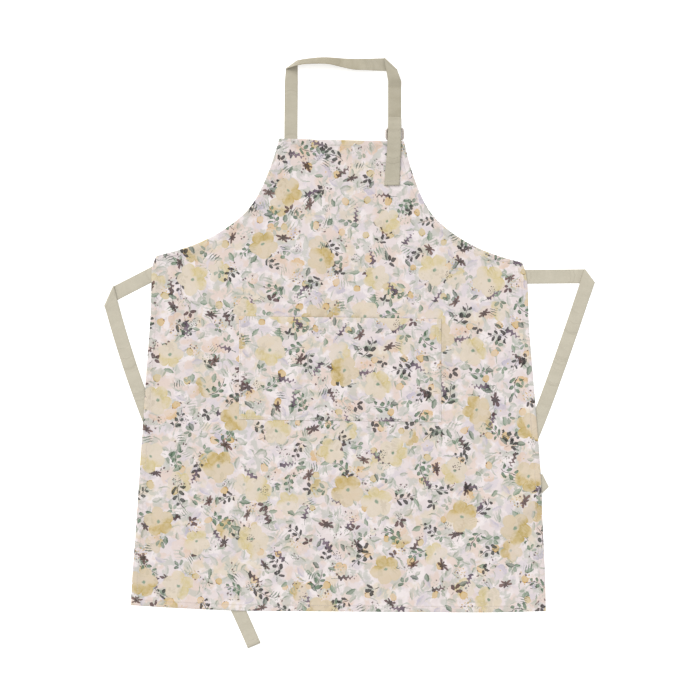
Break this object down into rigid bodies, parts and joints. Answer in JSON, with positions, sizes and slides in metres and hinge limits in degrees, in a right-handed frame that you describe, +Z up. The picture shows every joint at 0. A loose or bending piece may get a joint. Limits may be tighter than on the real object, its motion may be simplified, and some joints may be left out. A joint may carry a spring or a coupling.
{
  "type": "kitchen apron",
  "caption": "Bib apron of printed cotton, laid flat, with a front patch pocket, a neck loop of tape with a ring to adjust it, and waist ties.",
  "frame": {"origin": "middle of the cloth panel's underside, on the surface that the apron lies on", "axes": "+X to the wearer's left, +Y from the bottom hem to the bib, +Z up from the surface that the apron lies on, front face up"},
  "size_m": [0.8938, 1.076, 0.022],
  "materials": {
    "printed_cotton": "plain weave, printed",
    "cotton_tape": "woven tape",
    "ring_metal": "satin"
  },
  "bodies": {
    "root": {"body_panel": "printed_cotton", "pocket": "printed_cotton", "neck_strap": "cotton_tape", "ring_tab": "cotton_tape", "strap_ring": "ring_metal", "tie_left": "cotton_tape", "tie_right": "cotton_tape"}
  },
  "joints": []
}
